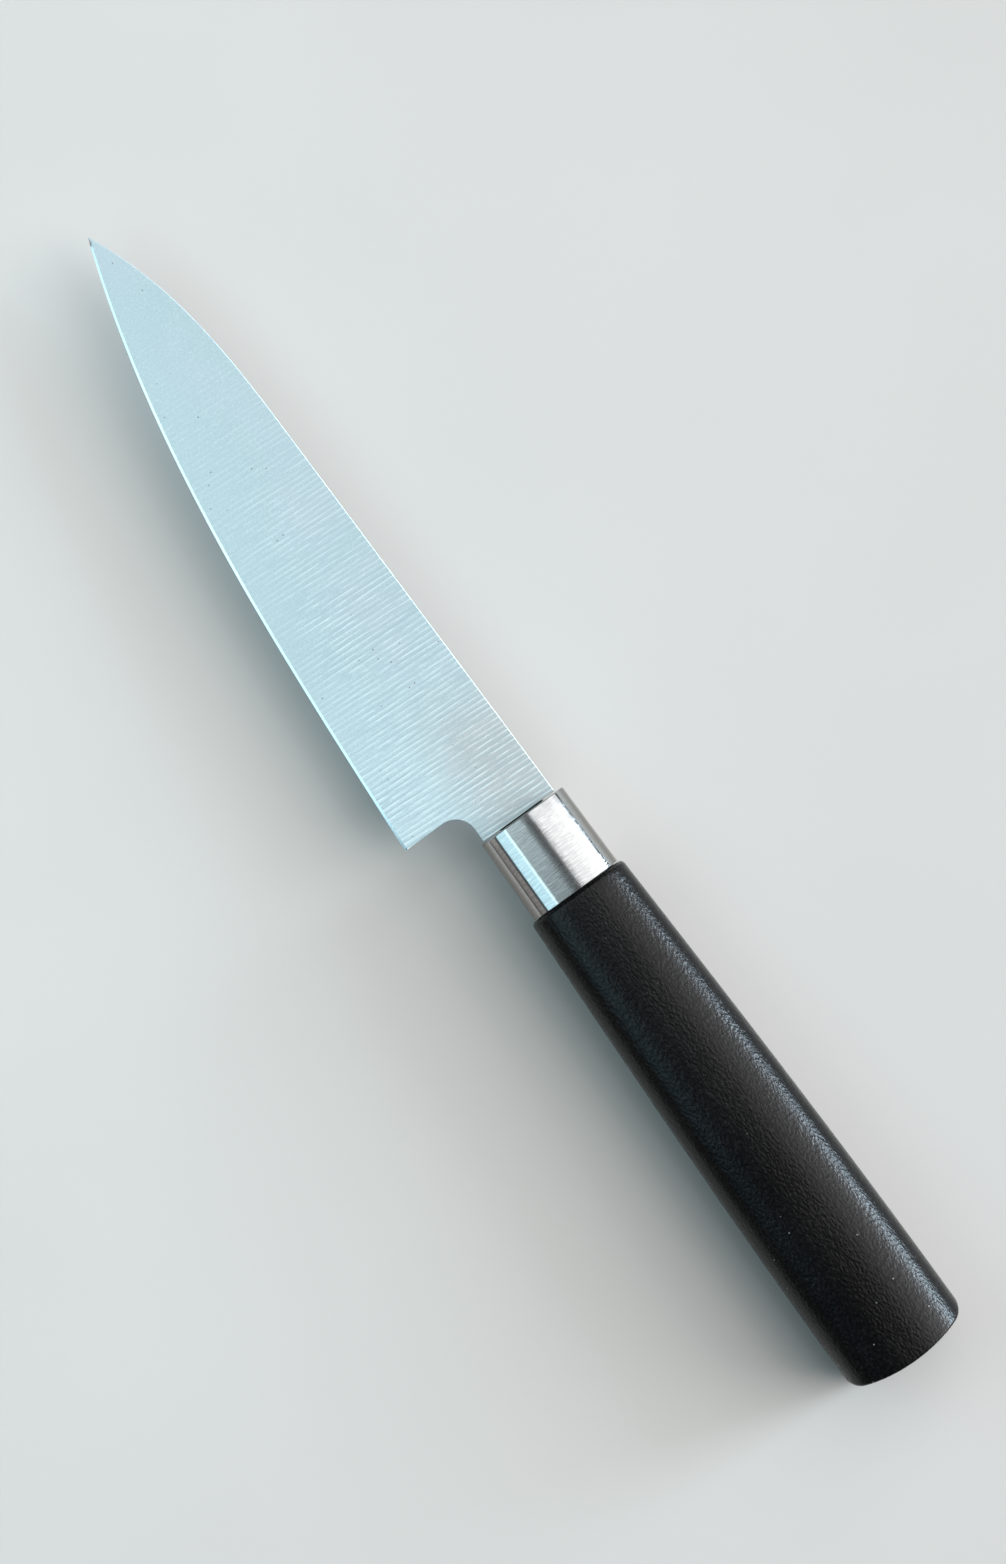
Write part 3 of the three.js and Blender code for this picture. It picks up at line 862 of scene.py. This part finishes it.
def handle_black():
    material, tree, shader, position = new_material("grained_black_moulding", Specular_IOR_Level=0.25)
    x, y, z = split(position)
    drawn_out = join(tree, x * PEBBLE_SQUEEZE, y, z)
    pebbles = noise(drawn_out, scale=1 / PEBBLE_SIZE, detail=1.0, roughness=0.5)
    pores = noise(position, scale=1 / PORE_SIZE, detail=1.0, roughness=0.5)
    patches = place_group(tree, soft_patches, {"Position": position, **HANDLE_PATCHES})["Patches"]
    specks = place_group(tree, scattered_specks, {"Position": position, **HANDLE_SPECKS})["Mask"]
    # Lighter pebble tops: partly wear, partly painted light on the tops and painted shade in the pits
    # between them
    worn_and_lit = ramp(pebbles, *WORN_AND_LIT_PEBBLES) * (patches * PATCH_WEAR_AND_LIGHT + LEAST_WEAR_AND_LIGHT)
    colour = mix_colour(worn_and_lit, HANDLE_BLACK, HANDLE_WORN_AND_LIT)
    dust_start, dust_end = (AXIS_POINT.x + place for place in DUST_STRETCH)
    dust = specks * ramp(x, dust_start, dust_end, *DUST_SHARES)
    colour = mix_colour(dust, colour, DUST_GREY)
    feed(tree, shader.inputs["Base Color"], colour)
    satin = ramp(pebbles, *SMOOTH_PEBBLES, *HANDLE_ROUGHNESS)
    satin = satin + patches * HANDLE_PATCH_ROUGHNESS + pores * PORE_ROUGHNESS
    feed(tree, shader.inputs["Roughness"], satin + dust * DUST_ROUGHNESS)
    feed(tree, shader.inputs["Normal"], bump(pebbles + pores * PORE_HEIGHT, **GRAIN_BUMP))
    return material


def butt_corner(size):
    """Centre of the arc that rounds a corner of the butt: its places along and across the handle."""
    corner_y = size["Butt Width"] / 2 - size["Butt Corner Radius"]
    inner_radius = size["Butt Crown Radius"] - size["Butt Corner Radius"]
    corner_x = size["Butt"] - size["Butt Crown Radius"] + (inner_radius ** 2 - corner_y ** 2).math("SQRT")
    return corner_x, corner_y


def butt_depth(size, y):
    """How far the butt's end lies behind the start of its corners, at the place y across the handle."""
    corner_x, corner_y = butt_corner(size)
    crown_radius = size["Butt Crown Radius"]
    corner_radius = size["Butt Corner Radius"]
    across = y.math("ABSOLUTE")
    crown = size["Butt"] - crown_radius - corner_x + (crown_radius ** 2 - across ** 2).math("SQRT")
    corner = (corner_radius ** 2 - (across - corner_y) ** 2).math("MAXIMUM", 0.0).math("SQRT")
    in_corner = across.math("GREATER_THAN", corner_y * crown_radius / (crown_radius - corner_radius))
    return mixed(in_corner, crown, corner)


def handle_tree():
    """Profile: out of the socket, round the spigot, over the rim, along the body and in over the butt."""
    names = (
        "Spigot Front", "Front", "Butt", "Spigot Width", "Spigot Thickness", "Spigot Flare",
        "Front Width", "Front Thickness", "Butt Width", "Butt Thickness", "Rim Radius",
        "Butt Corner Radius", "Butt Crown Radius", "Butt Edge Radius",
        "Socket End", "Socket Height", "Socket End Height", "Socket Width",
    )
    steps = (1, 1, 1, 1, 1, ROUNDING_STEPS, BODY_STEPS, TAIL_STEPS, ROUNDING_STEPS, END_STEPS)
    tree, size, result, grid, shares, angle = oval_tree("moulded_handle", names, steps)
    cap, socket, face, spigot, shoulder, rim, body, tail, edge, end = shares
    rim_turn = rim * QUARTER_TURN
    edge_turn = edge * QUARTER_TURN
    body_length = butt_corner(size)[0] - size["Front"]
    reach = size["Rim Radius"] * rim_turn.math("COSINE").flipped()
    reach = reach + (body_length - size["Rim Radius"]) * body
    along = reach / body_length
    swell = (along * QUARTER_TURN).math("SINE")
    rim_inset = size["Rim Radius"] * rim_turn.math("SINE").flipped()
    half_width = mixed(swell, size["Front Width"], size["Butt Width"]) / 2 - rim_inset
    half_thickness = mixed(along, size["Front Thickness"], size["Butt Thickness"]) / 2 - rim_inset
    spigot_taper = size["Spigot Flare"] * spigot.flipped()
    half_width = mixed(shoulder, (size["Spigot Width"] - spigot_taper) / 2, half_width)
    half_thickness = mixed(shoulder, (size["Spigot Thickness"] - spigot_taper) / 2, half_thickness)

    # The butt's edge is eased, but not where its corners run smoothly into the sides
    side_y = oval_point(angle, half_width, half_thickness, OVAL_POWER)[0]
    ease = size["Butt Edge Radius"].math("MINIMUM", butt_depth(size, side_y) / 2)
    inset = ease * edge_turn.math("COSINE").flipped()
    closing = (end ** 2).flipped()
    end_width = (half_width - inset) * closing
    end_thickness = (half_thickness - inset) * closing
    outer_y, outer_z = oval_point(angle, end_width, end_thickness, OVAL_POWER)
    socket_height = mixed(socket, size["Socket End Height"], size["Socket Height"]) * cap
    socket_y, socket_z = oval_point(angle, socket_height / 2, size["Socket Width"] / 2 * cap, SLOT_POWER)
    x = mixed(socket, size["Socket End"], size["Spigot Front"])
    x = x + (size["Front"] - size["Spigot Front"]) * spigot + reach
    x = x + (butt_depth(size, outer_y) - ease) * tail + ease * edge_turn.math("SINE")
    close_tree(tree, size, result, grid, x, mixed(face, socket_y, outer_y), mixed(face, socket_z, outer_z))
    return tree


handle_low, handle_high = (corner - AXIS_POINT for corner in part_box("handle"))
handle_size = handle_high - handle_low
spigot_inset = 2 * (FERRULE_WALL + BOND_LINE)
spigot_front = FERRULE_FACE + RESIN_BED + 2 * BOND_LINE
handle_front = ferrule_size.x + SEAM
handle_skin = mesh_from_tree("handle", handle_tree(), {
    "Axis Point": AXIS_POINT,
    "Spigot Front": spigot_front,
    "Front": handle_front,
    "Butt": handle_high.x,
    "Spigot Width": ferrule_size.y - spigot_inset,
    "Spigot Thickness": ferrule_size.z - spigot_inset,
    "Spigot Flare": FERRULE_FLARE * (handle_front - spigot_front) / ferrule_size.x,
    "Front Width": HANDLE_FRONT_WIDTH,
    "Front Thickness": handle_size.z - HANDLE_TAPER,
    "Butt Width": handle_size.y,
    "Butt Thickness": handle_size.z,
    "Rim Radius": RIM_RADIUS,
    "Butt Corner Radius": BUTT_CORNER_RADIUS,
    "Butt Crown Radius": BUTT_CROWN_RADIUS,
    "Butt Edge Radius": BUTT_EDGE_RADIUS,
    "Socket End": TANG_END_X + BEDDING,
    "Socket Height": 2 * (TANG_HALF_HEIGHT + BEDDING),
    "Socket End Height": 2 * (TANG_END_RADIUS + BEDDING),
    "Socket Width": 2 * (HALF_SPINE + BEDDING),
    "Material": handle_black(),
})
add_piece("moulded_handle", handle_skin, "handle")


# Tang bedding: resin that is poured round the tang in the handle's socket and sets hard. It shows nowhere
# on the finished knife, so its solid from the frame stays as it is and gets an amber, cloudy finish.
RESIN_PATCHES = {"Spacing": 4 * MM}
RESIN_BUBBLES = {"Spacing": 1.5 * MM, "Size": 0.4 * MM, "Share": 0.4}
RESIN_ROUGHNESS = 0.35
CLOUD_ROUGHNESS = 0.15  # more in the cloudy patches
BUBBLE_BUMP = {"strength": 0.4, "distance": 0.1 * MM}

RESIN_AMBER = (0.31, 0.19, 0.07, 1)
RESIN_CLOUD = (0.46, 0.34, 0.18, 1)


def bedding_resin():
    material, tree, shader, position = new_material("cured_bedding_resin")
    patches = place_group(tree, soft_patches, {"Position": position, **RESIN_PATCHES})["Patches"]
    bubbles = place_group(tree, scattered_specks, {"Position": position, **RESIN_BUBBLES})["Mask"]
    feed(tree, shader.inputs["Base Color"], mix_colour(patches, RESIN_AMBER, RESIN_CLOUD))
    feed(tree, shader.inputs["Roughness"], patches * CLOUD_ROUGHNESS + RESIN_ROUGHNESS)
    feed(tree, shader.inputs["Normal"], bump(bubbles.flipped(), **BUBBLE_BUMP))
    return material


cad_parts["tang_bedding"].material_slots[0].material = bedding_resin()


# Studio: a plain pale floor under the knife, and soft panels round it. The spine's side has white panels
# for the blade and the ferrule, with brighter ones and a cool window for the handle. The edge's side has
# bluish panels and a dim warm one, and a narrow gap is left overhead, where the camera looks down.
FLOOR_HALF_SIZE = 4.0
FLOOR_PATCHES = {"Spacing": 60 * MM}
FLOOR_ROUGHNESS = 0.7
FLOOR_PATCH_ROUGHNESS = 0.1
FLOOR_PALE = (0.575, 0.56, 0.54, 1)
FLOOR_SHADE = (0.56, 0.545, 0.525, 1)


def floor_finish():
    material, tree, shader, position = new_material("plain_pale_floor", Specular_IOR_Level=0.0)
    patches = place_group(tree, soft_patches, {"Position": position, **FLOOR_PATCHES})["Patches"]
    feed(tree, shader.inputs["Base Color"], mix_colour(patches, FLOOR_PALE, FLOOR_SHADE))
    feed(tree, shader.inputs["Roughness"], patches * FLOOR_PATCH_ROUGHNESS + FLOOR_ROUGHNESS)
    return material


floor_skin = bmesh.new()
bmesh.ops.create_grid(floor_skin, x_segments=1, y_segments=1, size=FLOOR_HALF_SIZE)
floor_mesh = bpy.data.meshes.new("floor_skin")
floor_skin.to_mesh(floor_mesh)
floor_skin.free()
floor_mesh.transform(Matrix.Translation((0, 0, cad_low.z)))
floor_mesh.materials.append(floor_finish())
floor = bpy.data.objects.new("floor", floor_mesh)
bpy.context.scene.collection.objects.link(floor)


def soft_panel(name, start, end, reach, x_from, x_to, colour, radiance):
    """Panel that fills the directions from start to end, in degrees from overhead towards the spine."""
    middle = math.radians((start + end) / 2)
    light = bpy.data.lights.new(name, "AREA")
    light.shape = "RECTANGLE"
    light.size = x_to - x_from
    light.size_y = 2 * reach * math.tan(math.radians(end - start) / 2)
    light.color = colour
    light.energy = radiance * math.pi * light.size * light.size_y
    panel = bpy.data.objects.new(name, light)
    panel.location = AXIS_POINT + Vector((0, reach * math.sin(middle), reach * math.cos(middle)))
    panel.location.x = (x_from + x_to) / 2
    panel.rotation_euler = (-middle, 0, 0)
    panel.visible_camera = False
    bpy.context.scene.collection.objects.link(panel)


# Distances from the knife's axis to the panels, in metres
FAR = 5.0
NEAR = 0.4
NEAREST = 0.3

WHITE = (1.0, 1.0, 0.99)
COOL_WHITE = (0.99, 0.99, 1.0)
WARM_WHITE = (1.0, 0.985, 0.97)
WINDOW_BLUE = (0.68, 0.86, 1.0)
LOW_WARM = (1.0, 0.93, 0.86)
PALE_BLUE = (0.57, 0.86, 0.95)
DEEP_BLUE = (0.32, 0.68, 1.0)
EDGE_BLUE = (0.67, 0.9, 0.94)
DIM_BLUE = (0.78, 0.96, 1.0)

# Name, start and end in degrees, distance, start and end along X in metres, colour and radiance
PANELS = (
    ("white_panel", 3.8, 26, FAR, -5.0, 0.112, WHITE, 1.45),
    ("side_white_panel", 26, 48, FAR, -5.0, 0.18, WHITE, 1.3),
    ("low_white_panel", 48, 64, FAR, -5.0, 0.24, COOL_WHITE, 1.6),
    ("lowest_white_panel", 64, 80, FAR, -5.0, 0.24, COOL_WHITE, 1.1),
    ("handle_top_panel", 8, 26, FAR, 0.112, 5.0, WARM_WHITE, 1.65),
    ("handle_side_panel", 26, 48, FAR, 0.18, 5.0, WARM_WHITE, 3.9),
    ("handle_low_panel", 48, 78, FAR, 0.24, 5.0, COOL_WHITE, 6.4),
    ("window_panel", 64, 88, FAR, 0.32, 1.8, WINDOW_BLUE, 26.0),
    ("low_warm_panel", -86, -62, FAR, -6.0, 0.112, LOW_WARM, 0.36),
    ("blue_panel", -54, -28, NEAR, -0.4, 0.045, PALE_BLUE, 1.6),
    ("deep_blue_panel", -54, -28, NEAR, 0.045, 0.08, DEEP_BLUE, 1.1),
    ("blue_edge_panel", -28, -23, NEAR, -0.4, 0.045, EDGE_BLUE, 2.25),
    ("dim_panel", -22, -0.9, NEAREST, -0.32, 0.02, DIM_BLUE, 0.8),
)
for panel_values in PANELS:
    soft_panel(*panel_values)

ROOM_DIM = (0.06, 0.062, 0.066, 1)
BACKDROP_PALE = (0.66, 0.67, 0.68, 1)

# The room lights the knife dimly, while the camera sees a pale backdrop beyond the floor
world = bpy.data.worlds.new("studio_room")
world.use_nodes = True
world_tree = world.node_tree
room = world_tree.nodes["Background"]
room.inputs["Color"].default_value = ROOM_DIM
backdrop = world_tree.nodes.new("ShaderNodeBackground")
backdrop.inputs["Color"].default_value = BACKDROP_PALE
seen = world_tree.nodes.new("ShaderNodeLightPath")
chosen_room = world_tree.nodes.new("ShaderNodeMixShader")
world_tree.links.new(seen.outputs["Is Camera Ray"], chosen_room.inputs[0])
world_tree.links.new(room.outputs[0], chosen_room.inputs[1])
world_tree.links.new(backdrop.outputs[0], chosen_room.inputs[2])
world_tree.links.new(chosen_room.outputs[0], world_tree.nodes["World Output"].inputs["Surface"])
bpy.context.scene.world = world

VIEW_CENTRE = (-1.88 * MM, 4.89 * MM)
VIEW_HEIGHT = 1.5
VIEW_TURN = math.radians(54.094)
VIEW_LONG_SIDE = 272.1 * MM  # length that the image's long side covers at the blade
SENSOR = 36.0

camera_data = bpy.data.cameras.new("camera_above")
camera_data.sensor_width = SENSOR
camera_data.lens = SENSOR * VIEW_HEIGHT / VIEW_LONG_SIDE
camera = bpy.data.objects.new("camera_above", camera_data)
camera.location = (*VIEW_CENTRE, AXIS_POINT.z + VIEW_HEIGHT)
camera.rotation_euler = (0, 0, VIEW_TURN)
bpy.context.scene.collection.objects.link(camera)
bpy.context.scene.camera = camera
bpy.context.scene.view_settings.view_transform = "Standard"
